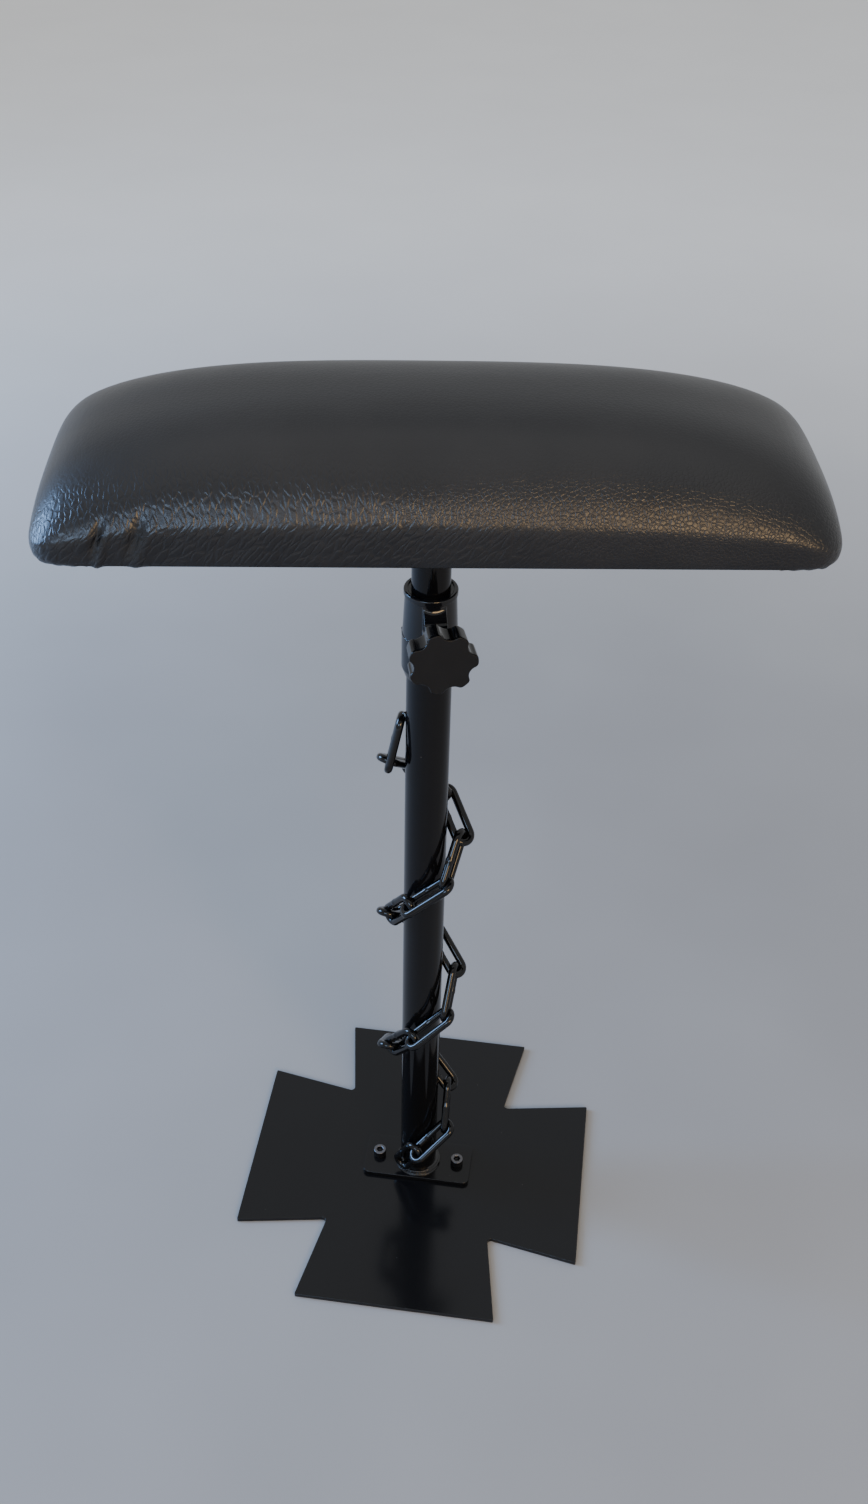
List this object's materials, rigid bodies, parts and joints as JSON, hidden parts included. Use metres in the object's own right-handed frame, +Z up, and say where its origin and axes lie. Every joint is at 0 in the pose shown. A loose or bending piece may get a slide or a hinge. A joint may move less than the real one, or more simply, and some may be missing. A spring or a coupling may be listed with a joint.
{
  "type": "tattoo arm rest stand",
  "caption": "Padded arm rest on a height-adjustable swivelling post with a star-knob clamp, a chain wound up the tube and a flat cross-shaped base.",
  "frame": {"origin": "centre of the base plate's underside, on the floor", "axes": "+Z up along the post; +Y away from the picture's viewer; the base plate's arms lie along X and Y, and the pad's length lies 8.9 degrees anticlockwise of +X at rest"},
  "size_m": [0.5992, 0.3556, 0.9128],
  "materials": {
    "black_steel": "satin black powder coat",
    "chain_steel": "gloss black paint",
    "black_screws": "black oxide",
    "zinc_steel": "bright zinc plate",
    "collar_nylon": "glossy moulded black",
    "knob_plastic": "moulded dark grey, fine grain",
    "guide_plastic": "plain black",
    "brass": "turned",
    "plywood": "birch plywood",
    "foam": "upholstery foam",
    "leatherette": "black leatherette, fine pebble grain",
    "dust_cloth": "black non-woven cloth"
  },
  "bodies": {
    "stand": {"base_plate": "black_steel", "flange_plate": "black_steel", "flange_screws": "black_screws", "stand_welds": "black_steel", "outer_tube": "black_steel", "lock_collar": "collar_nylon", "threaded_insert": "brass", "chain_link_01": "chain_steel", "chain_link_02": "chain_steel", "chain_link_03": "chain_steel", "chain_link_04": "chain_steel", "chain_link_05": "chain_steel", "chain_link_06": "chain_steel", "chain_link_07": "chain_steel", "chain_link_08": "chain_steel", "chain_link_09": "chain_steel", "chain_link_10": "chain_steel", "chain_link_11": "chain_steel", "chain_link_12": "chain_steel", "chain_link_13": "chain_steel", "chain_link_14": "chain_steel", "chain_link_15": "chain_steel", "chain_link_16": "chain_steel", "chain_link_17": "chain_steel", "chain_link_18": "chain_steel", "chain_link_19": "chain_steel"},
    "shoe": {"clamp_shoe": "brass"},
    "knob": {"knob_head": "knob_plastic", "knob_stud": "zinc_steel"},
    "carriage": {"guide_bush": "guide_plastic"},
    "rest": {"inner_post": "black_steel", "post_plug": "guide_plastic", "mount_plate": "black_steel", "mount_screws": "black_screws", "pad_board": "plywood", "pad_foam": "foam", "pad_cover": "leatherette", "dust_cover": "dust_cloth"}
  },
  "joints": [
    {"name": "height_slide", "type": "slide", "parent": "stand", "child": "carriage", "axis": [0, 0, 1], "range_m": [-0.07, 0.25]},
    {"name": "pad_swivel", "type": "hinge", "parent": "carriage", "child": "rest", "pos_m": [0, 0, 0.5], "axis": [0, 0, 1], "continuous": true},
    {"name": "knob_travel", "type": "slide", "parent": "stand", "child": "shoe", "axis": [0.2874, -0.9578, 0], "range_m": [0, 0.00252]},
    {"name": "knob_turn", "type": "hinge", "parent": "shoe", "child": "knob", "pos_m": [0, 0, 0.712], "axis": [0.2874, -0.9578, 0], "range_deg": [0, 720]}
  ],
  "couplings": [
    {"joint": "knob_travel", "follows": "knob_turn", "m_per_rad": 0.00019894}
  ]
}
